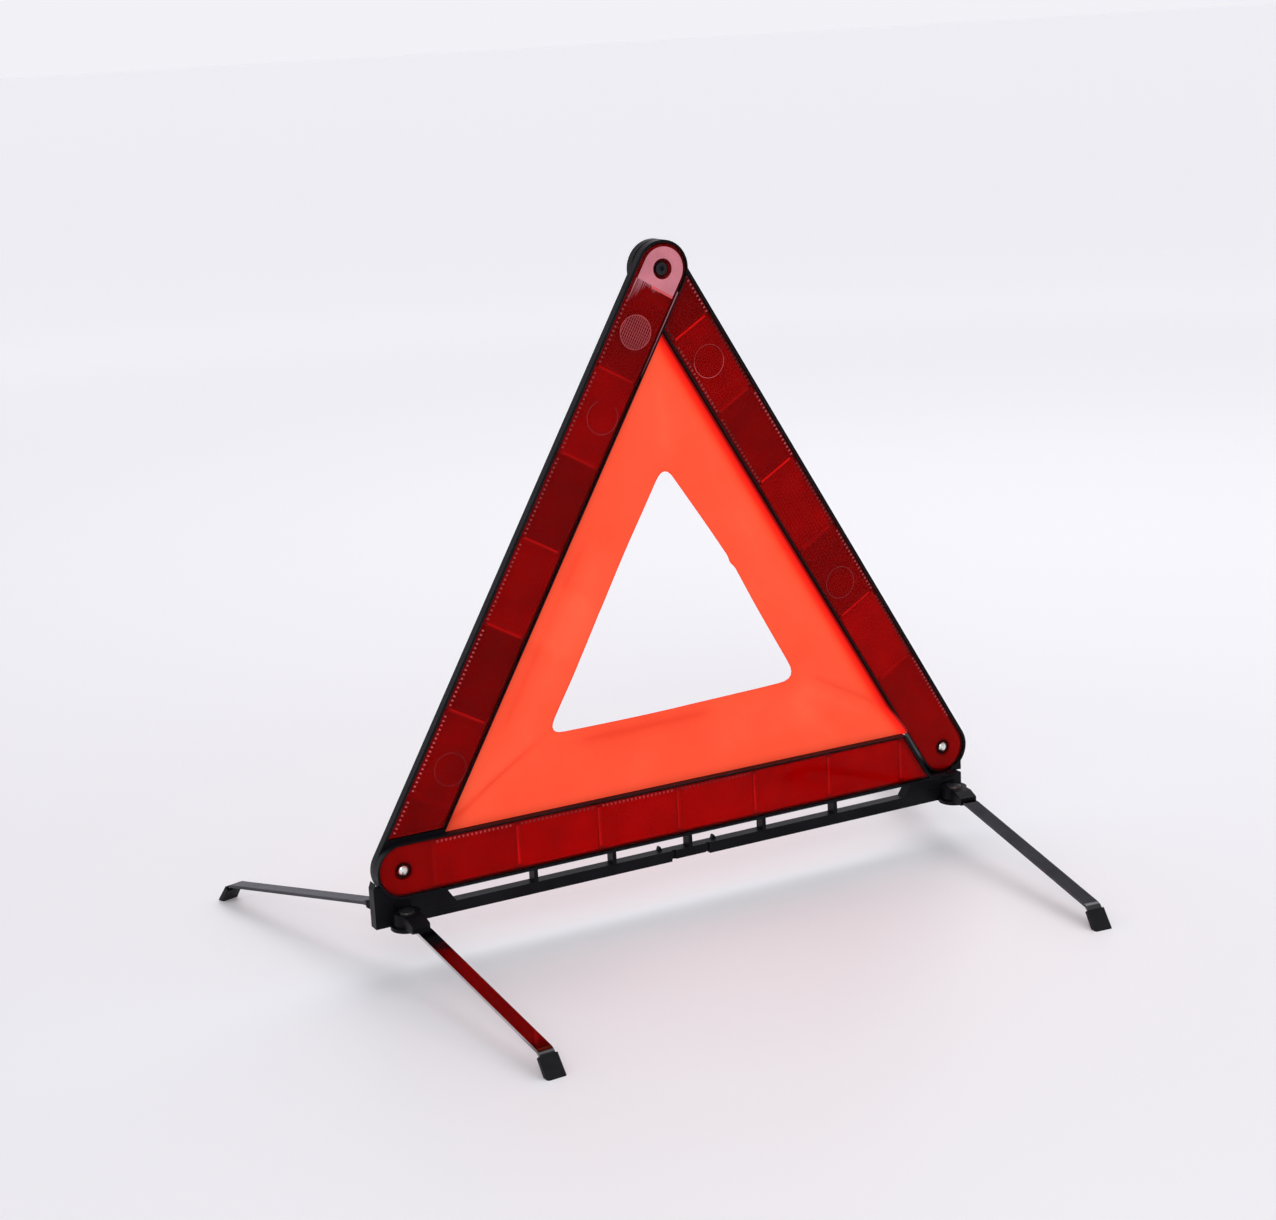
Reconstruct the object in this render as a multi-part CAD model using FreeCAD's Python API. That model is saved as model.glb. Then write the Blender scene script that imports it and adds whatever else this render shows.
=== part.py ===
"""Folding roadside warning triangle: one base bar, two swinging side bars and four swivel legs.

All lengths are in millimetres. +X is to the right seen from the front, +Y is to the back and
+Z is up. The three reflector bars lie in parallel layers, base bar in front, left bar behind it
and right bar behind that, so that both side bars fold down flat behind the base bar.
"""
import FreeCAD, Part
import math
import os

Vector = FreeCAD.Vector

# ---- Driving dimensions ----
pivot_spacing = 400.0        # length of the base and left bars between their round ends' centres
pivot_height = 65.5          # middle of the base bar and left pivot above the ground
right_pivot_out = 6.5        # the right pivot lies this much further out than the base bar's end
right_pivot_drop = 2.0       # and this much lower
bar_half = 17.75             # half the width of a reflector bar
bar_depth = 6.0              # front to back thickness of a bar
rim = 1.75                   # plastic edge along the outer side of each lens
inner_rim = 0.7              # plastic edge beside the fabric

base_front = -6.0            # front faces of the three layers
left_front = 0.3
right_front = 7.8
lug_front = 14.1             # rear lug that carries the right pivot
lug_back = 17.0

recess_depth = 3.6           # tray behind each lens
lens_setback = 0.2           # lens face below the rim
lens_skin = 1.8
cell_wall = 1.2
lens_height = 2.6            # skin and cell walls together
back_plate_depth = 0.8
cell_pitch = 57.0
base_first_cell = 20.0       # first cell wall, measured along each bar from its lower pivot
left_first_cell = 101.5
right_first_cell = 74.5

clamp_width = 6.0            # strip that holds the fabric hem behind each bar
clamp_inset = 1.6
clamp_depth = 1.0
clamp_recess = 1.2
clamp_ends = 34.0            # distance of the strip's ends from the pivots

rivet_radius = 2.4
running_gap = 0.05
rivet_head_radius = 3.4
rivet_head = 1.2
rivet_boss_radius = 4.3
lens_hole_radius = 4.5
washer_thickness = 0.4
washer_radius = 4.0
counterbore_radius = 4.3

stud_radius = 2.5
stud_tip_radius = 3.0
stud_tip_length = 1.3
stud_head_radius = 4.0
hook_inner = 3.5
hook_outer = 6.2
hook_lead = 1.2              # how far the hook stands forward of the right bar
hook_coverage = 160.0        # degrees of the stud that the hook holds

structure_front = -2.0       # rail, ribs and end blocks of the base frame
structure_back = 6.0
rail_bottom = 30.8
rail_top = 38.2
slot_top = 47.45
rib_pitch = 55.5
rib_width = 2.6
end_bottom = 30.8
end_outer = 219.8
end_wall = 1.6
end_wall_top = 60.0
gusset_top = 58.0            # fills the corner between the end wall and the bar's round end
right_end_outer = 213.0      # the right end block has no end wall and no gusset
slot_end_bottom = 166.0
slot_end_top = 172.0
cut_view_gap = 8.0           # how far the base bar stops short of the right bar
shelf_bottom = 43.2
shelf_top = 45.4

leg_x = 202.0
front_leg_y = -9.0
rear_leg_y = 13.5
left_toe_in = 3.4            # degrees that the open front legs point inwards
right_toe_in = 5.0
rear_splay = 17.0            # degrees that the open rear legs point outwards
flange_radius = 10.5
flange_top = 33.2
knuckle_radius = 8.6
knuckle_gap = 0.1
knuckle_pocket = 9.0
knuckle_top = 41.4
knuckle_nose = 19.5
knuckle_nose_half = 6.0
knuckle_nose_bottom = 33.8
knuckle_nose_top = 38.6
strip_half = 4.9
strip_thickness = 2.0
strip_height = 35.4          # middle of the strip inside its knuckle
strip_hole = 2.6
leg_rivet_head = 4.2
leg_rivet_dome = 1.0
leg_reach = 178.5
foot_half_width = 6.2
foot_half_thickness = 2.6
foot_length = 10.5
foot_chamfer = 0.9

window_side = 190.0          # triangular opening in the fabric panel
window_bottom = 130.5
window_radius = 9.0
panel_thickness = 0.7
panel_front = 6.7
panel_overlap = 8.0          # fabric hidden behind the base bar and the left bar
panel_gap = 0.4

left_pivot = Vector(-pivot_spacing / 2, 0, pivot_height)
right_pivot = Vector(pivot_spacing / 2 + right_pivot_out, 0, pivot_height - right_pivot_drop)
apex = Vector(0, 0, pivot_height + pivot_spacing * math.sqrt(3) / 2)
left_angle = 60.0
right_angle = math.degrees(math.atan2(apex.z - right_pivot.z, apex.x - right_pivot.x))
right_length = right_pivot.distanceToPoint(apex)


# ---- Shape helpers ----
def box(low, high):
    size = [b - a for a, b in zip(low, high)]
    return Part.makeBox(size[0], size[1], size[2], Vector(*low))


def outline_xz(points):
    corners = [Vector(x, 0, z) for x, z in points]
    return Part.Face(Part.makePolygon(corners + corners[:1]))


def extrude_y(face, front, back):
    moved = face.copy()
    moved.translate(Vector(0, front, 0))
    return moved.extrude(Vector(0, back - front, 0))


def stadium(start, end, half):
    """Bar outline in the XZ plane along +X, with round ends centred on start and end."""
    lower = Part.makeLine(Vector(start, 0, -half), Vector(end, 0, -half))
    nose = Part.Arc(Vector(end, 0, -half), Vector(end + half, 0, 0), Vector(end, 0, half)).toShape()
    upper = Part.makeLine(Vector(end, 0, half), Vector(start, 0, half))
    tail = Part.Arc(Vector(start, 0, half), Vector(start - half, 0, 0), Vector(start, 0, -half)).toShape()
    return Part.Face(Part.Wire([lower, nose, upper, tail]))


def disc_y(centre, radius, front, back):
    start = Vector(centre.x, front, centre.z)
    return Part.makeCylinder(radius, back - front, start, Vector(0, 1, 0))


def disc_z(x, y, radius, bottom, top):
    return Part.makeCylinder(radius, top - bottom, Vector(x, y, bottom), Vector(0, 0, 1))


def dome_y(centre, radius, flat, crown):
    """Shallow rivet dome from its flat face to its crown, along Y."""
    height = abs(crown - flat)
    ball = (radius * radius + height * height) / (2 * height)
    middle = crown + ball if crown < flat else crown - ball
    sphere = Part.makeSphere(ball, Vector(centre.x, middle, centre.z))
    return sphere.common(disc_y(centre, radius, min(flat, crown), max(flat, crown)))


def dome_z(x, y, radius, flat, crown):
    """Shallow rivet dome on a vertical pin, crown up or down."""
    height = abs(crown - flat)
    ball = (radius * radius + height * height) / (2 * height)
    middle = crown - ball if crown > flat else crown + ball
    sphere = Part.makeSphere(ball, Vector(x, y, middle))
    return sphere.common(disc_z(x, y, radius, min(flat, crown), max(flat, crown)))


def on_bar(shape, pivot, angle):
    """Place a shape drawn along +X from the origin on the bar that leaves pivot at angle."""
    placed = shape.copy()
    placed.rotate(Vector(0, 0, 0), Vector(0, 1, 0), -angle)
    placed.translate(pivot)
    return placed


def bar_blank(bar, half, front, back):
    return on_bar(extrude_y(stadium(0, bar["length"], half), front, back), bar["pivot"], bar["angle"])


# ---- What cuts the bars and their lenses short ----
def base_bar_end(extra, front, back):
    """Everything right of the base bar's slanted end, which follows the right bar's outline."""
    arm = bar_blank(bars["right_arm"], bar_half + extra, front, back)
    arm.translate(Vector(-cut_view_gap, 0, 0))
    beyond = box((right_pivot.x - cut_view_gap, front, 0), (pivot_spacing, back, 2 * pivot_height))
    return arm.fuse(beyond)


def base_lens_end(front, back):
    """Part of the base bar right of its lens."""
    return base_bar_end(rim, front, back)


def below_base_bar(front, back):
    """Part of the left bar that the base bar covers."""
    top = pivot_height + bar_half + rim
    return box((-pivot_spacing, front, 0), (pivot_spacing, back, top))


def behind_left_bar(front, back):
    """Part of the right bar that the left bar covers at the apex."""
    return bar_blank(bars["left_arm"], bar_half + rim, front, back)


def lens_blank(bar, inset, front, back):
    """Lens area of a bar between two depths, drawn in by inset all round."""
    outline = stadium(0, bar["length"], bar_half - (rim + inner_rim) / 2 - inset)
    outline.translate(Vector(0, 0, bar["inner"] * (rim - inner_rim) / 2))
    blank = on_bar(extrude_y(outline, front, back), bar["pivot"], bar["angle"])
    return blank.cut(bar["trim"](front - 1, back + 1))


bars = {
    "base": {
        "pivot": left_pivot, "angle": 0.0, "length": pivot_spacing, "front": base_front,
        "first_cell": base_first_cell, "trim": base_lens_end, "inner": 1.0, "hole": left_pivot,
    },
    "left_arm": {
        "pivot": left_pivot, "angle": left_angle, "length": pivot_spacing, "front": left_front,
        "first_cell": left_first_cell, "trim": below_base_bar, "inner": -1.0, "hole": apex,
    },
    "right_arm": {
        "pivot": right_pivot, "angle": right_angle, "length": right_length, "front": right_front,
        "first_cell": right_first_cell, "trim": behind_left_bar, "inner": 1.0, "hole": right_pivot,
    },
}


# ---- Pieces of each bar ----
def clamp_solid(bar, width, depth, ends):
    back = bar["front"] + bar_depth
    edge = bar["inner"] * (bar_half - clamp_inset)
    other = edge - bar["inner"] * width
    low = (ends, back - depth, min(edge, other))
    high = (bar["length"] - ends, back, max(edge, other))
    return on_bar(box(low, high), bar["pivot"], bar["angle"])


def tray(bar):
    front = bar["front"]
    shell = bar_blank(bar, bar_half, front, front + bar_depth)
    shell = shell.cut(lens_blank(bar, 0, front, front + recess_depth))
    boss_front = front + lens_setback + lens_skin
    shell = shell.fuse(disc_y(bar["hole"], rivet_boss_radius, boss_front, front + bar_depth))
    return shell.cut(clamp_solid(bar, clamp_width, clamp_recess, clamp_ends))


def lens(bar):
    """Clear red skin with walls behind it that divide the reflector into cells."""
    face = bar["front"] + lens_setback
    back = face + lens_height
    body = lens_blank(bar, 0, face, back)
    hollow = lens_blank(bar, cell_wall, face + lens_skin, back)
    position = bar["first_cell"]
    while position < bar["length"] + bar_half:
        wall = box((position - cell_wall / 2, face, -bar_half), (position + cell_wall / 2, back, bar_half))
        hollow = hollow.cut(on_bar(wall, bar["pivot"], bar["angle"]))
        position += cell_pitch
    body = body.cut(hollow)
    collar = disc_y(bar["hole"], lens_hole_radius + cell_wall, face, back)
    body = body.fuse(collar.common(lens_blank(bar, 0, face, back)))
    return body.cut(disc_y(bar["hole"], lens_hole_radius, face - 1, back + 1))


def back_plate(bar):
    front = bar["front"] + recess_depth - back_plate_depth
    back = bar["front"] + recess_depth
    plate = lens_blank(bar, 0, front, back)
    return plate.cut(disc_y(bar["hole"], lens_hole_radius, front - 1, back + 1))


def clamp_strip(bar):
    strip = clamp_solid(bar, clamp_width - 0.2, clamp_depth, clamp_ends + 0.5)
    strip.translate(Vector(0, -0.05, 0))
    return strip


# ---- Base frame ----
def rail():
    length = slot_end_bottom + 2
    beam = box((-length, structure_front, rail_bottom), (length, structure_back, rail_top))
    relief_half = 14.0
    relief = box((-relief_half, structure_front - 1, rail_bottom - 1),
                 (relief_half, structure_back + 1, rail_bottom + 1.3))
    beam = beam.cut(relief)
    for side in (-1, 1):
        groove = box((-1.3, structure_front - 1, rail_bottom - 1),
                     (1.3, structure_front + 1.2, rail_top + 1))
        groove.translate(Vector(side * (relief_half - 1.5), 0, 0))
        beam = beam.cut(groove)
        tooth = extrude_y(outline_xz([(-1.6, 0), (1.6, 0), (0.4, 2.6), (-0.6, 2.6)]), 0, 3.0)
        tooth.translate(Vector(side * 20.0, structure_back - 3.0, rail_top - 0.2))
        beam = beam.fuse(tooth)
    return beam


def rib(index):
    x = index * rib_pitch
    web = box((x - rib_width / 2, structure_front, rail_top - 1),
              (x + rib_width / 2, structure_back, slot_top))
    root = box((x - rib_width / 2, structure_front, slot_top - 1),
               (x + rib_width / 2, 0, pivot_height - bar_half + 1.2))
    return web.fuse(root)


def end_block():
    """Left end of the base frame: a web with a slanted slot end, a gusset, an end wall and two leg flanges."""
    web = extrude_y(outline_xz([
        (-end_outer, end_bottom), (-slot_end_bottom, rail_bottom), (-slot_end_bottom, rail_top),
        (-slot_end_top, slot_top), (-end_outer, slot_top)]), structure_front, structure_back)
    root_top = pivot_height - bar_half + 1.2
    root = extrude_y(outline_xz([
        (-end_outer + 1.2, slot_top - 1), (-slot_end_top - 1, slot_top - 1), (-slot_end_top - 1, root_top),
        (-pivot_spacing / 2, root_top), (-pivot_spacing / 2, gusset_top),
        (-end_outer + 1.2, gusset_top)]), structure_front, 0)
    wall = extrude_y(outline_xz([
        (-end_outer, end_bottom), (-end_outer + end_wall, end_bottom),
        (-end_outer + end_wall, end_wall_top), (-end_outer, end_wall_top - 4)]),
        structure_front, structure_back)
    block = web.fuse([root, wall])
    for y in (front_leg_y, rear_leg_y):
        block = block.cut(disc_z(-leg_x, y, knuckle_pocket, flange_top, slot_top + 0.1))
    flange = box((-leg_x - 9, front_leg_y, end_bottom), (-leg_x + 9, rear_leg_y, flange_top))
    for y in (front_leg_y, rear_leg_y):
        flange = flange.fuse(disc_z(-leg_x, y, flange_radius, end_bottom, flange_top))
    block = block.fuse(flange)
    for y in (front_leg_y, rear_leg_y):
        block = block.cut(disc_z(-leg_x, y, rivet_radius, end_bottom - 1, flange_top + 1))
    return block


def rear_lug():
    """Shelf and upright lug on the right that carry the right bar's pivot."""
    low_x = right_pivot.x - bar_half
    high_x = right_pivot.x + bar_half
    shelf = box((low_x, structure_front, shelf_bottom), (right_end_outer, lug_back, shelf_top))
    upright = box((low_x, lug_front, shelf_bottom), (high_x, lug_back, right_pivot.z))
    head = disc_y(right_pivot, bar_half, lug_front, lug_back)
    return shelf.fuse([upright, head])


def base_frame():
    bar = bars["base"]
    shell = tray(bar).cut(base_bar_end(0, base_front, 0))
    left_end = end_block()
    right_end = left_end.mirror(Vector(0, 0, 0), Vector(1, 0, 0))
    outside = box((right_end_outer, -pivot_height, 0), (pivot_spacing, pivot_height, pivot_height))
    gusset = box((pivot_spacing / 2, -pivot_height, slot_top), (pivot_spacing, pivot_height, pivot_height))
    right_end = right_end.cut(outside).cut(gusset)
    ribs = [rib(index) for index in range(-2, 3)]
    frame = shell.fuse([rail(), left_end, right_end, rear_lug()] + ribs)
    for pivot in (left_pivot, right_pivot):
        frame = frame.cut(disc_y(pivot, rivet_radius, base_front - 1, lug_back + 1))
    return frame.removeSplitter()


def base_clamp_strip():
    return clamp_strip(bars["base"]).cut(base_bar_end(rim, base_front, 0))


# ---- Side bars ----
def left_arm_frame():
    frame = tray(bars["left_arm"])
    back = left_front + bar_depth
    bore = disc_y(left_pivot, rivet_radius + running_gap, left_front - 1, back + 1)
    seat = disc_y(left_pivot, counterbore_radius, back - rivet_head - washer_thickness - 0.15, back + 1)
    stud_hole = disc_y(apex, stud_radius, left_front - 1, back + 1)
    return frame.cut(bore).cut(seat).cut(stud_hole).removeSplitter()


def hook():
    """Raised crescent round the stud, open towards the side where the stud leaves."""
    front = right_front - hook_lead
    ring = disc_y(apex, hook_outer, front, right_front + 0.5)
    ring = ring.cut(disc_y(apex, hook_inner, front - 1, right_front + 1))
    half_open = math.radians((360.0 - hook_coverage) / 2)
    reach = 3 * hook_outer
    mouth = outline_xz([
        (0, 0), (reach * math.cos(half_open), reach * math.sin(half_open)), (2 * reach, reach),
        (2 * reach, -reach), (reach * math.cos(half_open), -reach * math.sin(half_open))])
    mouth = extrude_y(mouth, front - 1, right_front)
    mouth.translate(apex)
    return ring.cut(mouth)


def right_arm_frame():
    frame = tray(bars["right_arm"])
    bore = disc_y(right_pivot, rivet_radius + running_gap, right_front - 1, lug_front)
    return frame.fuse(hook()).cut(bore).removeSplitter()


def catch_stud():
    head_back = left_front + lens_setback + lens_skin
    back = left_front + bar_depth
    head = disc_y(apex, stud_head_radius, head_back - 1.0, head_back)
    shank = disc_y(apex, stud_radius, head_back, back)
    tip = disc_y(apex, stud_tip_radius, back, back + stud_tip_length)
    socket = disc_y(apex, 1.6, head_back - 2.0, head_back + 1.0)
    return head.fuse([shank, tip]).cut(socket).removeSplitter()


# ---- Pivot rivets of the side bars ----
def pivot_rivet(pivot, head_back, tail_front, shank_front):
    head = dome_y(pivot, rivet_head_radius, head_back, head_back - rivet_head)
    shank = disc_y(pivot, rivet_radius, shank_front, tail_front)
    tail = disc_y(pivot, rivet_head_radius, tail_front, tail_front + rivet_head - 0.05)
    return head.fuse([shank, tail]).removeSplitter()


def washer_y(pivot, front):
    ring = disc_y(pivot, washer_radius, front, front + washer_thickness)
    return ring.cut(disc_y(pivot, rivet_radius, front - 1, front + 1))


left_seat = left_front + bar_depth - rivet_head - washer_thickness - 0.15
left_washer_front = left_seat + running_gap
left_head_back = base_front + lens_setback + lens_skin
right_head_back = right_front + lens_setback + lens_skin - running_gap


def left_arm_rivet():
    return pivot_rivet(left_pivot, left_head_back, left_washer_front + washer_thickness, left_head_back)


def left_arm_washer():
    return washer_y(left_pivot, left_washer_front)


def right_arm_rivet():
    return pivot_rivet(right_pivot, right_head_back, lug_back + washer_thickness, right_head_back)


def right_arm_washer():
    return washer_y(right_pivot, lug_back)


# ---- Legs, drawn along +X from a pivot on the Z axis ----
strip_line = [(-6.0, strip_height), (24.0, strip_height), (170.5, 12.0), (leg_reach, 1.6)]
strip_bend_radii = [10.0, 6.0]


def at(point):
    return Vector(point[0], 0, point[1])


def unit(a, b):
    length = math.hypot(b[0] - a[0], b[1] - a[1])
    return ((b[0] - a[0]) / length, (b[1] - a[1]) / length)


def offset_edges(points, radii, offset):
    """Edges of a bent line shifted sideways by offset, with tangent arcs at its bends."""
    edges = []
    start = None
    for index in range(1, len(points) - 1):
        before = unit(points[index - 1], points[index])
        after = unit(points[index], points[index + 1])
        if start is None:
            start = (points[0][0] - before[1] * offset, points[0][1] + before[0] * offset)
        turn = math.atan2(before[0] * after[1] - before[1] * after[0],
                          before[0] * after[0] + before[1] * after[1])
        radius = radii[index - 1]
        trim = radius * math.tan(abs(turn) / 2)
        side = math.copysign(1.0, turn)
        first = (points[index][0] - before[0] * trim, points[index][1] - before[1] * trim)
        last = (points[index][0] + after[0] * trim, points[index][1] + after[1] * trim)
        centre = (first[0] - before[1] * radius * side, first[1] + before[0] * radius * side)
        arm = radius - side * offset
        middle = unit(centre, points[index])
        enter = (first[0] - before[1] * offset, first[1] + before[0] * offset)
        crest = (centre[0] + middle[0] * arm, centre[1] + middle[1] * arm)
        leave = (last[0] - after[1] * offset, last[1] + after[0] * offset)
        edges.append(Part.makeLine(at(start), at(enter)))
        edges.append(Part.Arc(at(enter), at(crest), at(leave)).toShape())
        start = leave
    after = unit(points[-2], points[-1])
    finish = (points[-1][0] - after[1] * offset, points[-1][1] + after[0] * offset)
    edges.append(Part.makeLine(at(start), at(finish)))
    return edges


def strip_local(half_width, hole):
    half = strip_thickness / 2
    upper = offset_edges(strip_line, strip_bend_radii, half)
    lower = offset_edges(strip_line, strip_bend_radii, -half)
    closing = [
        Part.makeLine(upper[-1].Vertexes[-1].Point, lower[-1].Vertexes[-1].Point),
        Part.makeLine(upper[0].Vertexes[0].Point, lower[0].Vertexes[0].Point),
    ]
    profile = Part.Face(Part.Wire(Part.__sortEdges__(upper + lower + closing)))
    solid = extrude_y(profile, -half_width, half_width)
    if hole:
        solid = solid.cut(disc_z(0, 0, strip_hole, flange_top - 1, knuckle_top))
    return solid


def knuckle_local():
    bottom = flange_top + knuckle_gap
    drum = disc_z(0, 0, knuckle_radius, bottom, knuckle_top)
    nose = extrude_y(outline_xz([
        (0, bottom), (12.0, bottom), (knuckle_nose, knuckle_nose_bottom),
        (knuckle_nose, knuckle_nose_top), (12.0, knuckle_top), (0, knuckle_top)]),
        -knuckle_nose_half, knuckle_nose_half)
    body = drum.fuse(nose).removeSplitter()
    body = body.cut(strip_local(strip_half, False))
    return body.cut(disc_z(0, 0, rivet_radius + running_gap, bottom - 1, knuckle_top + 1))


def runs_across(edge):
    return abs(edge.tangentAt(edge.FirstParameter).y) > 0.5


def foot_local():
    """Rubber cap over the strip's tip, cut flat where it stands on the ground."""
    tip = strip_line[-1]
    along = unit(strip_line[-2], tip)
    across = (-along[1], along[0])
    start = (tip[0] - along[0] * foot_length, tip[1] - along[1] * foot_length)
    end = (tip[0] + along[0] * foot_length / 2, tip[1] + along[1] * foot_length / 2)
    reach = foot_half_thickness
    corners = [
        (start[0] + across[0] * (reach - 0.5), start[1] + across[1] * (reach - 0.5)),
        (end[0] + across[0] * reach, end[1] + across[1] * reach),
        (end[0] - across[0] * reach, end[1] - across[1] * reach),
        (start[0] - across[0] * (reach - 0.5), start[1] - across[1] * (reach - 0.5)),
    ]
    cap = extrude_y(outline_xz(corners), -foot_half_width, foot_half_width)
    long_edges = [edge for edge in cap.Edges if edge.Length > foot_length and not runs_across(edge)]
    cap = cap.makeChamfer(foot_chamfer, long_edges)
    ground = box((0, -2 * foot_half_width, -40), (2 * leg_reach, 2 * foot_half_width, 0))
    return cap.cut(ground).cut(strip_local(strip_half, False))


legs = {
    "front_left": (-leg_x, front_leg_y, -90.0 + left_toe_in),
    "front_right": (leg_x, front_leg_y, -90.0 - right_toe_in),
    "rear_left": (-leg_x, rear_leg_y, 90.0 + rear_splay),
    "rear_right": (leg_x, rear_leg_y, 90.0 - rear_splay),
}


def on_leg(shape, leg):
    x, y, angle = leg
    placed = shape.copy()
    placed.rotate(Vector(0, 0, 0), Vector(0, 0, 1), angle)
    placed.translate(Vector(x, y, 0))
    return placed


def leg_rivet(leg):
    x, y, _ = leg
    seat = knuckle_top + 2 * running_gap + washer_thickness
    shank = disc_z(x, y, rivet_radius, end_bottom, seat)
    lower = dome_z(x, y, leg_rivet_head, end_bottom, end_bottom - rivet_head)
    upper = dome_z(x, y, leg_rivet_head, seat, seat + leg_rivet_dome)
    return shank.fuse([lower, upper]).removeSplitter()


def leg_washer(leg):
    x, y, _ = leg
    bottom = knuckle_top + 2 * running_gap
    ring = disc_z(x, y, washer_radius + 1.0, bottom, bottom + washer_thickness)
    return ring.cut(disc_z(x, y, rivet_radius, bottom - 1, bottom + 1))


# ---- Fabric panel ----
def rounded_window():
    """Triangular opening with round corners, as a face in the XZ plane."""
    height = window_side * math.sqrt(3) / 2
    corners = [Vector(-window_side / 2, 0, window_bottom), Vector(window_side / 2, 0, window_bottom),
               Vector(0, 0, window_bottom + height)]
    trim = window_radius * math.sqrt(3)
    edges = []
    for index in range(3):
        here = corners[index]
        before = (corners[index - 1] - here).normalize()
        after = (corners[(index + 1) % 3] - here).normalize()
        inward = (before + after).normalize()
        enter = here + before * trim
        leave = here + after * trim
        crest = here + inward * window_radius
        next_corner = corners[(index + 1) % 3]
        edges.append(Part.Arc(enter, crest, leave).toShape())
        edges.append(Part.makeLine(leave, next_corner - after * trim))
    return Part.Face(Part.Wire(edges))


def warning_panel():
    """Plain closed sheet with the fabric's outline and opening."""
    left_slope = math.tan(math.radians(left_angle))
    right_slope = math.tan(math.radians(right_angle))
    left_foot = left_pivot.x + (bar_half - panel_overlap) / math.sin(math.radians(left_angle))
    right_foot = right_pivot.x - (bar_half + panel_gap) / math.sin(math.radians(right_angle))
    bottom = pivot_height + bar_half - panel_overlap
    left_x = left_foot + (bottom - left_pivot.z) / left_slope
    right_x = right_foot + (bottom - right_pivot.z) / right_slope
    rise = (right_x - left_x) / (1 / left_slope - 1 / right_slope)
    top_x = left_x + rise / left_slope
    top_z = bottom + rise
    sheet = outline_xz([(left_x, bottom), (right_x, bottom), (top_x, top_z)])
    sheet = sheet.cut(rounded_window())
    return extrude_y(sheet, panel_front, panel_front + panel_thickness)


# ---- All nodes ----
def build_nodes():
    nodes = {
        "base_frame": base_frame(),
        "left_arm_frame": left_arm_frame(),
        "right_arm_frame": right_arm_frame(),
        "base_clamp_strip": base_clamp_strip(),
        "left_arm_clamp_strip": clamp_strip(bars["left_arm"]),
        "right_arm_clamp_strip": clamp_strip(bars["right_arm"]),
        "left_arm_rivet": left_arm_rivet(),
        "left_arm_washer": left_arm_washer(),
        "right_arm_rivet": right_arm_rivet(),
        "right_arm_washer": right_arm_washer(),
        "catch_stud": catch_stud(),
        "warning_panel": warning_panel(),
    }
    for name, bar in bars.items():
        nodes[name + "_lens"] = lens(bar)
        nodes[name + "_back_plate"] = back_plate(bar)
    for name, leg in legs.items():
        nodes[name + "_leg_strip"] = on_leg(strip_local(strip_half, True), leg)
        nodes[name + "_leg_knuckle"] = on_leg(knuckle_local(), leg)
        nodes[name + "_foot"] = on_leg(foot_local(), leg)
        nodes[name + "_leg_rivet"] = leg_rivet(leg)
        nodes[name + "_leg_washer"] = leg_washer(leg)
    return nodes


nodes = build_nodes()
whole = FreeCAD.BoundBox()
for solid in nodes.values():
    whole.add(solid.BoundBox)
to_centre = Vector(-whole.Center.x, -whole.Center.y, -whole.ZMin)
os.makedirs("parts", exist_ok=True)
for name, solid in nodes.items():
    solid.translate(to_centre)
    solid.exportStep("parts/" + name + ".step")
    pieces = len(solid.Solids)
    print(name, "valid" if solid.isValid() else "INVALID", pieces, round(solid.Volume, 1))
print("shift", to_centre, "size", whole.XLength, whole.YLength, whole.ZLength)
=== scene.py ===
"""Looks for the folding warning triangle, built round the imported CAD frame.

Shapes are worked out in millimetres and turned into metres by MM. Numbers in the materials, and
for the floor and the lights, are in metres.
"""
import math
import random

import bpy
from mathutils import Matrix, Vector, noise


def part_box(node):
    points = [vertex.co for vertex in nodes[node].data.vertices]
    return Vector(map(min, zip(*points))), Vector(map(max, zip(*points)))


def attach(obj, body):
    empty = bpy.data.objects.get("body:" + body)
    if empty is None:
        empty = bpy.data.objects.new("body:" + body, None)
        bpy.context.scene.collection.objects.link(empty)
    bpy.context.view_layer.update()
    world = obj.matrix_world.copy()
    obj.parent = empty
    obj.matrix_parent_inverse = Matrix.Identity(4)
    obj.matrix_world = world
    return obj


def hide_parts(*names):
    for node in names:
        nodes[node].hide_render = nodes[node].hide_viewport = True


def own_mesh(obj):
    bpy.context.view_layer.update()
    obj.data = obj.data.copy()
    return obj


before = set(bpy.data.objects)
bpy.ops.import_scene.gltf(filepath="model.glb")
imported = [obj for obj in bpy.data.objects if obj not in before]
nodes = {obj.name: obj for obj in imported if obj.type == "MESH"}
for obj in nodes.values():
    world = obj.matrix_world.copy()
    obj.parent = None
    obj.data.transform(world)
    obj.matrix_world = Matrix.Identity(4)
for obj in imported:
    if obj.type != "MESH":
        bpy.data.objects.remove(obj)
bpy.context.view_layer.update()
scene = bpy.context.scene
MM = 0.001

# ---- The three bars, as the CAD lays them out ----
PIVOT_SPACING = 400.0   # between the round ends' centres of the base and left bars
BAR_HALF = 17.75        # half the width of a bar
BAR_DEPTH = 6.0
RIM = 1.75              # plastic edge along the outer side of each lens
INNER_RIM = 0.7         # plastic edge beside the fabric
LENS_SETBACK = 0.2      # lens face behind the bar's front face
LENS_WALL = 1.2         # wall round the back of each lens
LENS_HALF = BAR_HALF - (RIM + INNER_RIM) / 2 - LENS_WALL
LEFT_LAYER = 0.3        # the left bar's front face lies this far behind LAYER_ORIGIN
CELL_PITCH = 57.0


def middle_of(node):
    low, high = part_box(node)
    return (low + high) / 2 / MM


def front_of(bar):
    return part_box(f"{bar}_lens")[0].y / MM - LENS_SETBACK


PIVOT_Z = middle_of("left_arm_rivet").z
RIGHT_PIVOT = middle_of("right_arm_rivet")
LAYER_ORIGIN = front_of("left_arm") - LEFT_LAYER
APEX_Z = PIVOT_Z + PIVOT_SPACING * math.sqrt(3) / 2


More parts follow.
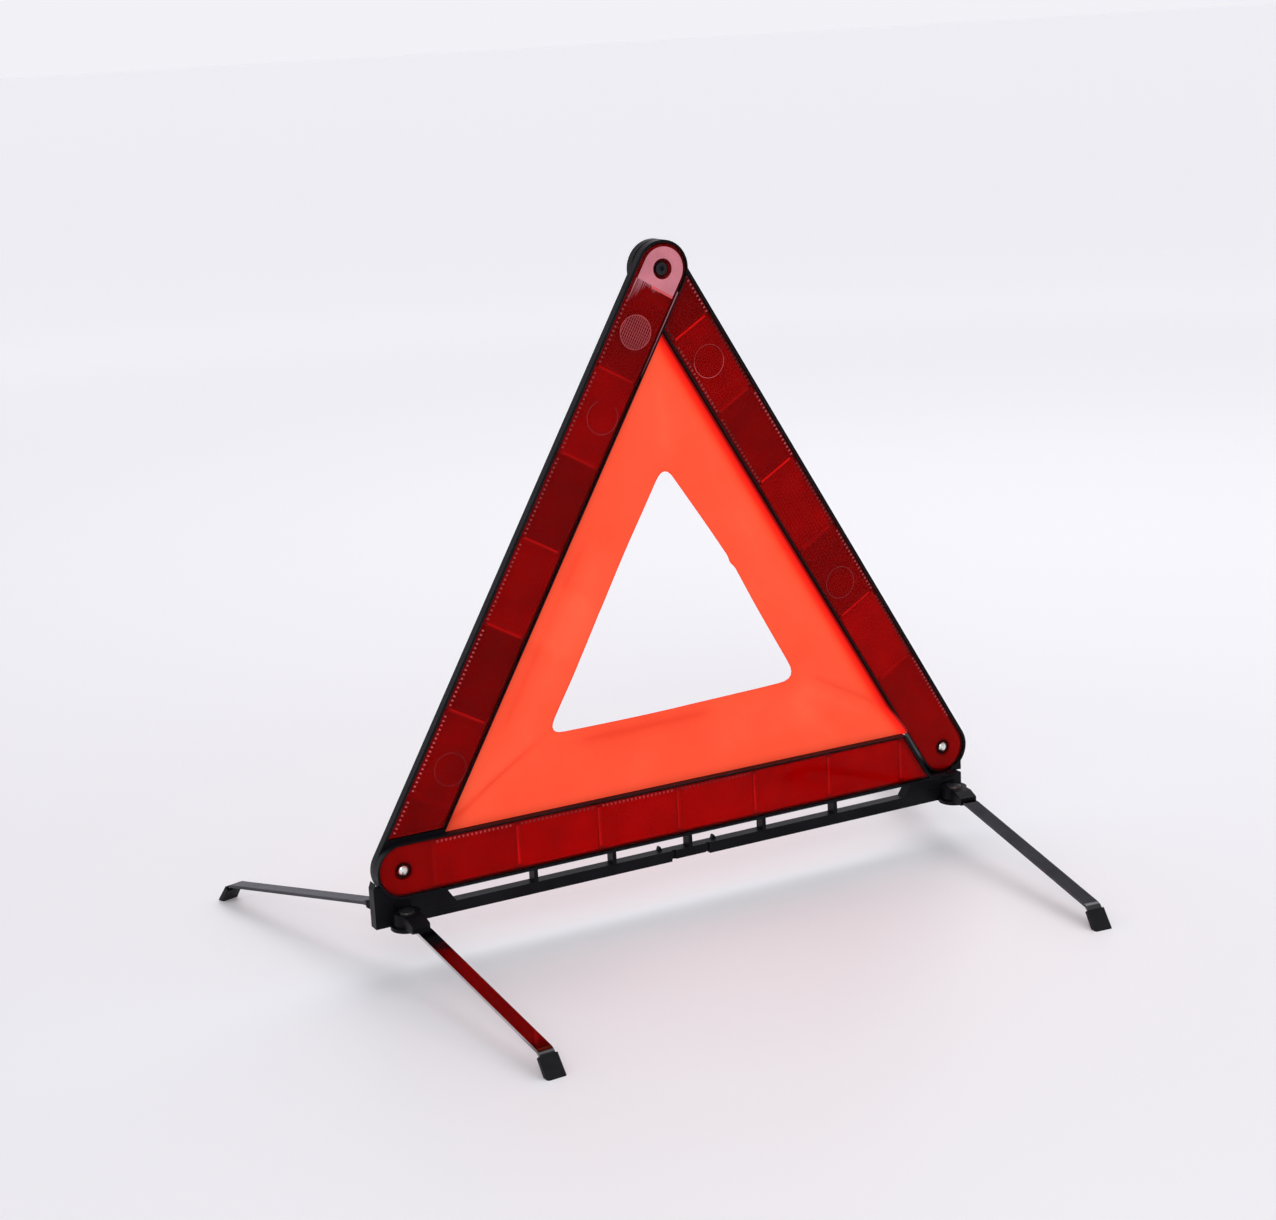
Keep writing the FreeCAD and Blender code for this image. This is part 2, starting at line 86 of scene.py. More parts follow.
class Bar:
    """A reflector bar: s runs along it from its pivot, t across it, depth back from its front face.

    cells is where its first cell starts and where its last one has to end. plain is the
    stretch without cells, and hole the place of the rivet or stud in it. inner is the side
    of +t or -t where the fabric is; the lens sits a little towards it.
    """

    def __init__(self, body, x, z, angle, length, cells, plain, hole, inner):
        self.body = body
        self.start = Vector((x, 0, z))
        self.length = length
        turn = math.radians(angle)
        self.along = Vector((math.cos(turn), 0, math.sin(turn)))
        self.across = Vector((-math.sin(turn), 0, math.cos(turn)))
        self.front = front_of(body)
        self.cells = cells
        self.plain = plain
        self.hole = hole
        self.lens_middle = inner * (RIM - INNER_RIM) / 2

    def point(self, s, t, depth):
        place = self.start + self.along * s + self.across * t
        return Vector((place.x, self.front + depth, place.z)) * MM

    def local(self, x, z):
        offset = Vector((x, 0, z)) - self.start
        return offset.dot(self.along), offset.dot(self.across)


RIGHT_LENGTH = math.hypot(RIGHT_PIVOT.x, APEX_Z - RIGHT_PIVOT.z)
RIGHT_ANGLE = math.degrees(math.atan2(APEX_Z - RIGHT_PIVOT.z, -RIGHT_PIVOT.x))
LEFT_X = -PIVOT_SPACING / 2
BASE_CELLS_START, LEFT_CELLS_START, RIGHT_CELLS_START = 20.0, -12.5, 74.5
LEFT_CELLS_END = 379.0
BASE_BAR = Bar(
    "base", LEFT_X, PIVOT_Z, 0, PIVOT_SPACING,
    cells=(BASE_CELLS_START, PIVOT_SPACING), plain=(-LENS_HALF, BASE_CELLS_START),
    hole=0.0, inner=1,
)
LEFT_BAR = Bar(
    "left_arm", LEFT_X, PIVOT_Z, 60, PIVOT_SPACING,
    cells=(LEFT_CELLS_START, LEFT_CELLS_END), plain=(LEFT_CELLS_END, PIVOT_SPACING + LENS_HALF),
    hole=PIVOT_SPACING, inner=-1,
)
RIGHT_BAR = Bar(
    "right_arm", RIGHT_PIVOT.x, RIGHT_PIVOT.z, RIGHT_ANGLE, RIGHT_LENGTH,
    cells=(RIGHT_CELLS_START, RIGHT_LENGTH), plain=(-LENS_HALF, RIGHT_CELLS_START),
    hole=0.0, inner=1,
)


# ---- Material helpers ----
def new_material(name):
    material = bpy.data.materials.new(name)
    material.use_nodes = True
    tree = material.node_tree
    tree.nodes.clear()
    output = tree.nodes.new("ShaderNodeOutputMaterial")
    shader = tree.nodes.new("ShaderNodeBsdfPrincipled")
    tree.links.new(shader.outputs["BSDF"], output.inputs["Surface"])
    return material, tree, shader


def set_values(shader, **values):
    for key, value in values.items():
        shader.inputs[key.replace("_", " ")].default_value = value


def place_of(tree):
    return tree.nodes.new("ShaderNodeTexCoord").outputs["Object"]


def stretched(tree, vector, scale):
    mapping = tree.nodes.new("ShaderNodeMapping")
    mapping.inputs["Scale"].default_value = scale
    tree.links.new(vector, mapping.inputs["Vector"])
    return mapping.outputs["Vector"]


def noise_value(tree, vector, scale, detail=3.0, roughness=0.55):
    node = tree.nodes.new("ShaderNodeTexNoise")
    node.inputs["Scale"].default_value = scale
    node.inputs["Detail"].default_value = detail
    node.inputs["Roughness"].default_value = roughness
    tree.links.new(vector, node.inputs["Vector"])
    return node.outputs["Fac"]


def wave_value(tree, vector, scale, direction, distortion=0.0, detail_scale=1.0):
    node = tree.nodes.new("ShaderNodeTexWave")
    node.wave_type = "BANDS"
    node.bands_direction = direction
    node.inputs["Scale"].default_value = scale
    node.inputs["Distortion"].default_value = distortion
    node.inputs["Detail Scale"].default_value = detail_scale
    tree.links.new(vector, node.inputs["Vector"])
    return node.outputs["Fac"]


def remapped(tree, value, low, high, from_low=0.0, from_high=1.0):
    """A value's range from_low to from_high spread over low to high, and clamped there."""
    node = tree.nodes.new("ShaderNodeMapRange")
    node.inputs["From Min"].default_value = from_low
    node.inputs["From Max"].default_value = from_high
    node.inputs["To Min"].default_value = low
    node.inputs["To Max"].default_value = high
    tree.links.new(value, node.inputs["Value"])
    return node.outputs["Result"]


def combined(tree, operation, first, second):
    node = tree.nodes.new("ShaderNodeMath")
    node.operation = operation
    for socket, value in zip(node.inputs, (first, second)):
        if isinstance(value, (int, float)):
            socket.default_value = value
        else:
            tree.links.new(value, socket)
    return node.outputs["Value"]


def graded(tree, value, stops):
    """Colour ramp over a value, with stops of (position, colour)."""
    node = tree.nodes.new("ShaderNodeValToRGB")
    ramp = node.color_ramp
    while len(ramp.elements) < len(stops):
        ramp.elements.new(0.5)
    for element, (position, colour) in zip(ramp.elements, stops):
        element.position = position
        element.color = (*colour, 1.0)
    tree.links.new(value, node.inputs["Fac"])
    return node.outputs["Color"]


def attribute_value(tree, name):
    node = tree.nodes.new("ShaderNodeAttribute")
    node.attribute_name = name
    return node.outputs["Fac"]


def multiplied(tree, first, second):
    node = tree.nodes.new("ShaderNodeVectorMath")
    node.operation = "MULTIPLY"
    tree.links.new(first, node.inputs[0])
    tree.links.new(second, node.inputs[1])
    return node.outputs["Vector"]


def bumped(tree, shader, height, strength, distance, under=None):
    """Bump on the shader's normal, on top of the normal given as under."""
    node = tree.nodes.new("ShaderNodeBump")
    node.inputs["Strength"].default_value = strength
    node.inputs["Distance"].default_value = distance
    tree.links.new(height, node.inputs["Height"])
    if under is not None:
        tree.links.new(under, node.inputs["Normal"])
    tree.links.new(node.outputs["Normal"], shader.inputs["Normal"])
    return node.outputs["Normal"]


# ---- Materials ----
def moulded_plastic(name, dark, light, rough_low, rough_high):
    """Black injection-moulded plastic: fine spark-eroded grain, faint flow marks and uneven gloss."""
    material, tree, shader = new_material(name)
    place = place_of(tree)
    patches = noise_value(tree, place, 38.0, 4.0)
    colour = graded(tree, patches, [(0.3, dark), (0.75, light)])
    tree.links.new(colour, shader.inputs["Base Color"])
    smears = noise_value(tree, stretched(tree, place, (14.0, 60.0, 90.0)), 1.0, 4.0, 0.65)
    tree.links.new(remapped(tree, smears, rough_low, rough_high, 0.3, 0.7), shader.inputs["Roughness"])
    grain = noise_value(tree, place, 2600.0, 2.0)
    ripple = noise_value(tree, place, 190.0, 3.0)
    first = bumped(tree, shader, ripple, 0.18, 0.0006)
    bumped(tree, shader, grain, 0.22, 0.00012, first)
    set_values(shader, IOR=1.5, Specular_IOR_Level=0.06)
    return material


STRIP_BOW = 0.275               # half of how much the strip's slope changes per metre
TIP_HEIGHTS = (0.0136, 0.0152)  # metres above the ground where the dull tip, painted dark as shade, gives way to polish


def painted_steel(name, dark, light, edge, coat, coat_ior, smear, lean):
    """Black enamelled spring steel, polished by handling, with long fine scratches.

    With a lean the strip is slightly bowed along its length, and its bent tip, which lies
    lower than the rest, is dull and painted dark: painted shade that keeps the bend from showing a
    highlight.
    """
    material, tree, shader = new_material(name)
    place = place_of(tree)
    patches = noise_value(tree, place, 55.0, 3.0)
    colour = graded(tree, patches, [(0.3, dark), (0.75, light)])
    marks = noise_value(tree, stretched(tree, place, (900.0, 90.0, 900.0)), 1.0, 4.0, 0.7)
    tree.links.new(remapped(tree, marks, 0.06, smear, 0.42, 0.72), shader.inputs["Roughness"])
    waves = noise_value(tree, place, 60.0, 2.0)
    under = None
    if lean:
        parts = tree.nodes.new("ShaderNodeSeparateXYZ")
        tree.links.new(place, parts.inputs["Vector"])
        bow = combined(tree, "ADD", combined(tree, "MULTIPLY", parts.outputs["Y"], STRIP_BOW), -lean)
        under = bumped(tree, shader, combined(tree, "MULTIPLY", parts.outputs["Y"], bow), 1.0, 1.0)
        polish_and_tip_shade = remapped(tree, parts.outputs["Z"], 0.0, 1.0, *TIP_HEIGHTS)
        tree.links.new(polish_and_tip_shade, shader.inputs["Coat Weight"])
        # Painted shade: below the first tip height the colour is darkened to 0.15 of itself.
        shade = graded(tree, polish_and_tip_shade, [(0.0, (0.15, 0.15, 0.15)), (1.0, (1.0, 1.0, 1.0))])
        colour = multiplied(tree, colour, shade)
    tree.links.new(colour, shader.inputs["Base Color"])
    tree.links.new(bumped(tree, shader, waves, 0.12, 0.001, under), shader.inputs["Coat Normal"])
    set_values(
        shader, Metallic=1.0, Specular_Tint=edge,
        Coat_Weight=coat, Coat_Roughness=0.05, Coat_IOR=coat_ior,
    )
    return material


def foot_rubber():
    """Matt black rubber with a dusty bloom."""
    material, tree, shader = new_material("foot_rubber")
    place = place_of(tree)
    bloom = noise_value(tree, place, 120.0, 5.0, 0.7)
    colour = graded(tree, bloom, [(0.35, (0.005, 0.005, 0.006)), (0.8, (0.013, 0.013, 0.015))])
    tree.links.new(colour, shader.inputs["Base Color"])
    tree.links.new(remapped(tree, bloom, 0.44, 0.66, 0.3, 0.75), shader.inputs["Roughness"])
    pores = noise_value(tree, place, 1700.0, 3.0)
    bumped(tree, shader, pores, 0.3, 0.00015)
    set_values(shader, Specular_IOR_Level=0.15)
    return material


def rivet_steel():
    """Bright plated steel with the swirl of the riveting tool."""
    material, tree, shader = new_material("rivet_steel")
    place = place_of(tree)
    tarnish = noise_value(tree, place, 420.0, 3.0)
    colour = graded(tree, tarnish, [(0.3, (0.62, 0.60, 0.57)), (0.7, (0.86, 0.85, 0.83))])
    tree.links.new(colour, shader.inputs["Base Color"])
    swirl = noise_value(tree, stretched(tree, place, (2400.0, 300.0, 500.0)), 1.0, 4.0, 0.7)
    tree.links.new(remapped(tree, swirl, 0.12, 0.34, 0.35, 0.7), shader.inputs["Roughness"])
    bumped(tree, shader, swirl, 0.15, 0.0001)
    set_values(shader, Metallic=1.0)
    return material


def lens_glass():
    """Clear red acrylic, with the faint waviness of a moulded face. Shadow rays pass straight through."""
    material, tree, shader = new_material("red_lens")
    set_values(
        shader, Base_Color=(0.80, 0.05, 0.042, 1.0), Transmission_Weight=1.0, IOR=1.06,
        Coat_Weight=0.08, Coat_Roughness=0.05,
    )
    place = place_of(tree)
    haze = noise_value(tree, place, 70.0, 4.0, 0.6)
    tree.links.new(remapped(tree, haze, 0.01, 0.05, 0.35, 0.75), shader.inputs["Roughness"])
    bumped(tree, shader, noise_value(tree, place, 85.0, 2.0), 0.07, 0.0012)
    clear = tree.nodes.new("ShaderNodeBsdfTransparent")
    clear.inputs["Color"].default_value = (0.85, 0.10, 0.08, 1.0)
    path = tree.nodes.new("ShaderNodeLightPath")
    mix = tree.nodes.new("ShaderNodeMixShader")
    output = next(n for n in tree.nodes if n.type == "OUTPUT_MATERIAL")
    tree.links.new(path.outputs["Is Shadow Ray"], mix.inputs["Fac"])
    tree.links.new(shader.outputs["BSDF"], mix.inputs[1])
    tree.links.new(clear.outputs["BSDF"], mix.inputs[2])
    tree.links.new(mix.outputs["Shader"], output.inputs["Surface"])
    return material


def reflector(name, base, roughness, gloss):
    """Prism side of the reflector. The tone attribute says how bright each cell or mark is; on the cells
    and joints it carries painted light and shade.
    """
    material, tree, shader = new_material(name)
    place = place_of(tree)
    tone = attribute_value(tree, "tone")
    blotches = noise_value(tree, place, 45.0, 4.0, 0.6)
    level = combined(tree, "MULTIPLY", tone, remapped(tree, blotches, 0.82, 1.18, 0.3, 0.7))
    scale = tree.nodes.new("ShaderNodeVectorMath")
    scale.operation = "SCALE"
    scale.inputs[0].default_value = base
    tree.links.new(level, scale.inputs["Scale"])
    tree.links.new(scale.outputs["Vector"], shader.inputs["Base Color"])
    set_values(shader, Roughness=roughness, Specular_IOR_Level=gloss)
    return material


def woven_fabric():
    """Fluorescent orange polyester in plain weave, with a soft sheen and slightly uneven dye, and a faint
    glow of painted light.

    near_bar is 1 beside the right bar, where the colour paints a band of red bounce light and then shade
    against the bar, and fold is above 0.5 on ridges, which the colour paints with highlights, with painted
    shade in the hollows between.
    """
    material, tree, shader = new_material("orange_fabric")
    place = place_of(tree)
    dye = noise_value(tree, place, 22.0, 4.0, 0.6)
    threads = noise_value(tree, stretched(tree, place, (260.0, 1.0, 2600.0)), 1.0, 2.0)
    mostly_dye = combined(tree, "MULTIPLY", dye, 0.7)
    amount = combined(tree, "ADD", mostly_dye, combined(tree, "MULTIPLY", threads, 0.3))
    colour = graded(tree, amount, [(0.3, (0.90, 0.070, 0.024)), (0.7, (0.96, 0.092, 0.037))])
    near = attribute_value(tree, "near_bar")
    # Painted light and shade beside the right bar: a band of brighter, redder light for the bounce off the
    # red bar, then painted shade right against it.
    shade = graded(tree, near, [
        (0.0, (1.0, 1.0, 1.0)), (0.3, (1.05, 0.75, 0.6)), (0.65, (1.15, 0.25, 0.10)),
        (0.93, (1.0, 0.08, 0.04)), (1.0, (0.3, 0.01, 0.01)),
    ])
    # Painted shade in the hollows of the creases and painted highlights on their ridges.
    folds = graded(tree, attribute_value(tree, "fold"), [
        (0.1, (0.85, 0.50, 0.40)), (0.5, (1.0, 0.97, 0.95)), (0.95, (1.0, 1.2, 1.28)),
    ])
    tint = multiplied(tree, multiplied(tree, colour, shade), folds)
    tree.links.new(tint, shader.inputs["Base Color"])
    tree.links.new(tint, shader.inputs["Emission Color"])
    warp = wave_value(tree, place, 520.0, "X", 0.6)
    weft = wave_value(tree, place, 520.0, "Z", 0.6)
    weave = combined(tree, "MULTIPLY", warp, weft)
    wrinkle = noise_value(tree, place, 55.0, 5.0)
    first = bumped(tree, shader, wrinkle, 0.25, 0.0012)
    bumped(tree, shader, weave, 0.12, 0.00025, first)
    # Emission Strength makes the fabric glow: painted light on top of what the lamps give.
    set_values(
        shader, Roughness=0.7, Specular_IOR_Level=0.2, Sheen_Weight=0.08, Sheen_Roughness=0.4,
        Sheen_Tint=(1.0, 0.30, 0.15, 1.0), Emission_Strength=0.22,
    )
    return material


def reflector_backing():
    """Red plastic backing that shows through the clear walls between the cells."""
    material, tree, shader = new_material("reflector_back")
    place = place_of(tree)
    patches = noise_value(tree, place, 60.0, 3.0)
    colour = graded(tree, patches, [(0.3, (0.26, 0.012, 0.010)), (0.7, (0.34, 0.016, 0.013))])
    tree.links.new(colour, shader.inputs["Base Color"])
    set_values(shader, Roughness=0.4)
    return material


black_plastic = moulded_plastic("black_plastic", (0.004, 0.004, 0.0055), (0.009, 0.009, 0.0115), 0.22, 0.42)
stud_plastic = moulded_plastic("stud_plastic", (0.010, 0.010, 0.012), (0.030, 0.030, 0.034), 0.24, 0.40)
steel = painted_steel(
    "painted_steel", (0.06, 0.058, 0.063), (0.085, 0.083, 0.09), edge=(0.5, 0.5, 0.52, 1.0),
    coat=0.15, coat_ior=1.5, smear=0.2, lean=0.0,
)
# A brighter, glossier copy of the steel for the front left strip alone: a lit copy of one material, so that
# this strip shows more of the red lens's reflection than the others.
brightened_steel = painted_steel(
    "brightened_steel", (0.22, 0.21, 0.22), (0.28, 0.27, 0.28), edge=(1.0, 1.0, 1.0, 1.0),
    coat=1.0, coat_ior=2.3, smear=0.12, lean=0.165,
)
rubber = foot_rubber()
plated = rivet_steel()
glass = lens_glass()
backing = reflector_backing()
prism_red = reflector("prism_red", (0.535, 0.023, 0.019), 0.5, 0.04)
mark_red = reflector("mark_red", (0.62, 0.09, 0.10), 0.5, 0.1)
# Pale pink painted reflection of a softbox, laid on the plain tip of the left lens.
painted_reflection_pink = reflector("painted_apex_reflection", (0.575, 0.182, 0.222), 0.35, 0.3)
black_steel = moulded_plastic("black_steel", (0.012, 0.012, 0.014), (0.030, 0.030, 0.034), 0.16, 0.30)
fabric_orange = woven_fabric()

# The first ending here that a CAD node's name has gives the node its finish.
FINISHES = {
    "_leg_rivet": black_steel, "front_left_leg_strip": brightened_steel,
    "_lens": glass, "_back_plate": backing, "_rivet": plated, "_washer": plated,
    "_leg_strip": steel, "_foot": rubber, "_stud": stud_plastic,
}
for name, node in nodes.items():
    finish = next((m for ending, m in FINISHES.items() if name.endswith(ending)), black_plastic)
    node.data.materials.clear()
    node.data.materials.append(finish)


# ---- Building meshes ----
def make_object(name, points, faces, materials, face_slots=None, tones=None, rounded=False):
    mesh = bpy.data.meshes.new(name)
    mesh.from_pydata([tuple(p) for p in points], [], faces)
    for material in materials:
        mesh.materials.append(material)
    if face_slots:
        mesh.polygons.foreach_set("material_index", face_slots)
    if tones:
        layer = mesh.attributes.new("tone", "FLOAT", "FACE")
        layer.data.foreach_set("value", tones)
    mesh.polygons.foreach_set("use_smooth", [rounded] * len(mesh.polygons))
    mesh.update()
    thing = bpy.data.objects.new(name, mesh)
    scene.collection.objects.link(thing)
    return thing


class Relief:
    """Collects the facets of one bar's lens, with t measured from the lens's own middle line."""

    def __init__(self, bar):
        self.bar = bar
        self.points = []
        self.faces = []
        self.slots = []
        self.tones = []

    def vertex(self, s, t, depth):
        self.points.append(self.bar.point(s, t + self.bar.lens_middle, depth))
        return len(self.points) - 1

    def face(self, corners, slot, tone):
        self.faces.append(corners)
        self.slots.append(slot)
        self.tones.append(tone)

    def mark(self, corners, slot, tone, forward=0.0):
        """A flat face just in front of the lens, from corners of (s, t)."""
        self.face([self.vertex(s, t, MARK_DEPTH - forward) for s, t in corners], slot, tone)


PRISM_STEP = 1.5
PRISM_ROW = PRISM_STEP * 0.866
PRISM_DEPTHS = (2.12, 2.19, 2.26)
JOINT_DEPTH = 2.1               # bottom of the narrow joint between two cells
RAMP_DEPTH = 2.25
PLATE_DEPTH = 2.4               # plate behind a plain end
MARK_DEPTH = 0.14               # teeth, rings and the frosted end, just in front of the lens
RELIEF_GAP = 0.15
JOINT_HALF = 0.8                # half the width of a joint
RAMP_END = 2.0                  # from the middle of a joint to the end of the ramp beside it
SHORTEST_CELL = 3.0
ROUND_STEPS = 96
BASE_CUT = 8.0                  # how far short of the right bar the base bar stops
BASE_LENS_END = 194.0           # x of the wall at the base lens's cut end
HOLE_WALL = 5.7                 # outer radius of the wall round a lens's hole
PLATE_HOLE = 5.9                # radius of the hole in the plate behind a plain end
REFLECTION_HOLE = 6.4                # and in the painted reflection on the lens's tip
PRISM, MARK, PAINTED_REFLECTION = range(3)   # material slots of a relief


def clear_of_bar(other, x, z, margin):
    """Whether a place is outside another bar's outline, with the lens's rim and wall between them."""
    s, t = other.local(x, z)
    beyond = s - other.length if other is LEFT_BAR else -s
    return math.hypot(max(beyond, 0.0), t) > BAR_HALF + RIM + LENS_WALL + margin


def clear_of_trim(bar, s, t, margin):
    """Whether a point of a lens is inside its walls, where neighbouring bars cut it short."""
    if abs(t) > LENS_HALF - margin:
        return False
    overshoot = max(-s, s - bar.length, 0.0)
    if math.hypot(overshoot, t) > LENS_HALF - margin:
        return False
    if math.hypot(s - bar.hole, t + bar.lens_middle) < HOLE_WALL + margin:
        return False
    place = bar.start + bar.along * s + bar.across * (t + bar.lens_middle)
    if bar is LEFT_BAR:
        return place.z > PIVOT_Z + BAR_HALF + RIM + LENS_WALL + margin
    if bar is RIGHT_BAR:
        return clear_of_bar(LEFT_BAR, place.x, place.z, margin)
    return place.x < BASE_LENS_END - margin and clear_of_bar(RIGHT_BAR, place.x + BASE_CUT, place.z, margin)


def prisms(relief, low, high, tone, flip):
    """Cube-corner relief between two places along the bar: rhombic facets over three levels."""
    rows = int((high - low) / PRISM_ROW) + 2
    half_columns = int(LENS_HALF / PRISM_STEP) + 12
    found = {}
    for row in range(rows):
        for column in range(-half_columns, half_columns):
            s = low + row * PRISM_ROW + 0.3
            t = (column + 0.5 * (row % 2)) * PRISM_STEP
            if s < high and clear_of_trim(relief.bar, s, t, RELIEF_GAP):
                axis = column - row // 2
                level = (axis - row) % 3
                depth = PRISM_DEPTHS[2 - level if flip else level]
                found[(row, axis)] = (relief.vertex(s, t, depth), level)
    ring = [(0, 1), (1, 0), (1, -1), (0, -1), (-1, 0), (-1, 1)]
    for (row, axis), (here, level) in found.items():
        if level != 0:
            continue
        around = [found.get((row + a, axis + b)) for a, b in ring]
        for k in range(0, 6, 2):
            trio = [around[k], around[(k + 1) % 6], around[(k + 2) % 6]]
            if None not in trio:
                relief.face([here] + [v[0] for v in trio], PRISM, tone)


def ramp(relief, low, high, depth_low, depth_high, tone, pieces=12):
    """Ramp right across the lens, in pieces so that a slanted trim can end it."""
    step = 2 * LENS_HALF / pieces
    for k in range(pieces):
        a, b = -LENS_HALF + k * step, -LENS_HALF + (k + 1) * step
        corners = [(low, a), (high, a), (high, b), (low, b)]
        if all(clear_of_trim(relief.bar, s, t, RELIEF_GAP) for s, t in corners):
            depths = (depth_low, depth_high, depth_high, depth_low)
            relief.face([relief.vertex(s, t, d) for (s, t), d in zip(corners, depths)], PRISM, tone)


def bridge(relief, inner, outer, slot, tone):
    """Faces between two rings of equally many points."""
    for k in range(len(inner)):
        after = (k + 1) % len(inner)
        relief.face([inner[k], inner[after], outer[after], outer[k]], slot, tone)


def directions():
    """Unit vectors all round, in steps."""
    for k in range(ROUND_STEPS):
        turn = math.radians(k * 360 / ROUND_STEPS)
        yield math.cos(turn), math.sin(turn)


def end_reach(along, across, outward, edge, straight):
    """From the hole to the edge of a bar end: round on the outward side, a straight cut on the other."""
    if along * outward < 0:
        return min(edge / max(abs(across), 1e-6), straight / abs(along))
    return edge


def smooth_end(relief, tone):
    """Flat plate behind a plain bar end, from its rounded tip to a straight edge, with the hole."""
    low, high = relief.bar.plain
    hole = relief.bar.hole
    outward = 1.0 if hole > 0 else -1.0
    straight = hole - low if hole > 0 else high - hole
    rings = []
    for inside in (0.0, 0.5, 1.0):
        rings.append([])
        for along, across in directions():
            reach = end_reach(along, across, outward, LENS_HALF - RELIEF_GAP, straight)
            radius = PLATE_HOLE + (reach - PLATE_HOLE) * inside
            aside = radius * across - relief.bar.lens_middle * (1 - inside)
            rings[-1].append(relief.vertex(hole + radius * along, aside, PLATE_DEPTH))
    for inner, outer in zip(rings, rings[1:]):
        bridge(relief, inner, outer, PRISM, tone)


def teeth(relief, low, high, side, tone, pitch=2.9):
    """Row of small light wedges along one edge of a cell."""
    s = low + 2.0
    while s + 1.4 < high - 1.0:
        outer = side * (LENS_HALF - 0.35)
        inner = side * (LENS_HALF - 1.9)
        corners = [(s, outer), (s + 1.3, outer), (s + 1.0, inner), (s + 0.3, inner)]
        if all(clear_of_trim(relief.bar, a, b, 0.1) for a, b in corners):
            relief.mark(corners, MARK, tone)
        s += pitch


def ring_mark(relief, s, t, radius, width, tone, first, last):
    """Thin ring, or an arc of one between two angles."""
    count = 48
    rings = []
    for r in (radius - width / 2, radius + width / 2):
        rings.append([])
        for k in range(count + 1):
            turn = math.radians(first + (last - first) * k / count)
            rings[-1].append(relief.vertex(s + r * math.cos(turn), t + r * math.sin(turn), MARK_DEPTH))
    for k in range(count):
        relief.face([rings[0][k], rings[0][k + 1], rings[1][k + 1], rings[1][k]], MARK, tone)


def painted_apex_reflection(relief):
    """Painted reflection on the tip of a lens: a pale pink patch for a softbox's reflection, running out in
    ragged streaks, with a painted highlight line below it.
    """
    hole, edge = relief.bar.hole, LENS_HALF - 1.5
    straight = 12.0
    inner, outer = [], []
    for along, across in directions():
        aside = REFLECTION_HOLE * across - relief.bar.lens_middle
        inner.append(relief.vertex(hole + REFLECTION_HOLE * along, aside, MARK_DEPTH))
        reach = end_reach(along, across, 1.0, edge, straight)
        outer.append(relief.vertex(hole + reach * along, reach * across, MARK_DEPTH))
    bridge(relief, inner, outer, PAINTED_REFLECTION, 1.0)
    ragged = random.Random(7)
    low = hole - straight
    t = edge
    while t > -4.0:
        width = ragged.uniform(0.45, 0.9)
        reach = ragged.uniform(1.5, 5.5) + max(t - 7.0, 0.0) * 2.0
        relief.mark([(low, t), (low, t - width), (low - reach, t - width * 0.6)], PAINTED_REFLECTION, 0.75)
        t -= width + ragged.uniform(0.1, 0.7)
    # Painted highlight: a bright line just below the painted reflection.
    relief.mark([(low, 3.0), (low, -edge), (low - 1.6, -edge), (low - 1.6, 2.0)], MARK, 1.1, 0.03)
    # Painted highlights: thin pale lines along both edges of the lens, where its bevels reflect the light.
    for s_high, s_low, t_out, t_in in ((low, 372.0, 14.4, 13.7), (392.0, 336.0, -15.3, -16.1)):
        corners = [(s_high, t_out), (s_high, t_in), (s_low, t_in + 0.25), (s_low, t_in + 0.35)]
        relief.mark(corners, PAINTED_REFLECTION, 0.7)


def hatched_mark(relief, s, t, radius):
    """Outlined disc filled with fine ribs along the bar and, fainter and further forward, across it."""
    for swap, pitch, width, forward, tone in ((False, 1.9, 0.5, 0.04, 0.42), (True, 1.55, 0.6, 0.0, 0.62)):
        lines = int(radius / pitch)
        for k in range(-lines, lines + 1):
            offset = k * pitch
            reach = math.sqrt(max(radius * radius - offset * offset, 0.0))
            left, right = offset - width / 2, offset + width / 2
            corners = [(left, -reach), (right, -reach), (right, reach), (left, reach)]
            corners = [(s + b, t + a) if swap else (s + a, t + b) for a, b in corners]
            relief.mark(corners, MARK, tone, forward)
    ring_mark(relief, s, t, radius, 0.6, 0.75, 0.0, 360.0)


# Brightness of each bar's plain end, of its cells in turn and of the joint before each cell. These paint
# light and shade into the lens: each bar is lighter or darker as a whole as it faces the light,
# neighbouring cells alternate as their differently turned prisms catch it, and joints above 1 are painted
# highlights.
PLAIN_TONES = {"base": 0.59, "left_arm": 0.5, "right_arm": 0.65}
CELL_TONES = {
    "base": (0.76, 0.92, 0.92, 0.92, 0.85, 0.84, 0.84),
    "left_arm": (0.46, 0.52, 0.38, 0.60, 0.39, 0.61, 0.43),
    "right_arm": (0.86, 0.53, 0.69, 0.51, 0.63, 0.37, 0.37),
}
JOINT_TONES = {
    "base": (0.62, 1.2, 1.1, 1.05, 1.1, 1.0, 1.0),
    "left_arm": (0.4, 0.55, 0.95, 0.9, 0.95, 0.75, 0.8),
    "right_arm": (0.8, 1.15, 0.75, 1.5, 0.75, 1.3, 0.5),
}
# Rows of teeth by cell: brightness on the +t edge and on the -t edge.
TEETH = {
    "base": ((0.7, 0.0), (0.3, 0.0), (0.55, 0.0), (0.2, 0.0), (0.0, 0.0), (0.0, 0.0), (0.0, 0.0)),
    "left_arm": ((0.75, 0.0), (0.9, 0.0), (0.8, 0.0), (0.5, 0.0), (0.45, 0.0), (0.4, 0.0), (0.4, 0.0)),
    "right_arm": ((0.0, 0.3), (0.0, 0.7), (0.0, 0.35), (0.3, 0.95), (0.4, 0.2), (0.1, 0.9), (0.0, 0.7)),
}
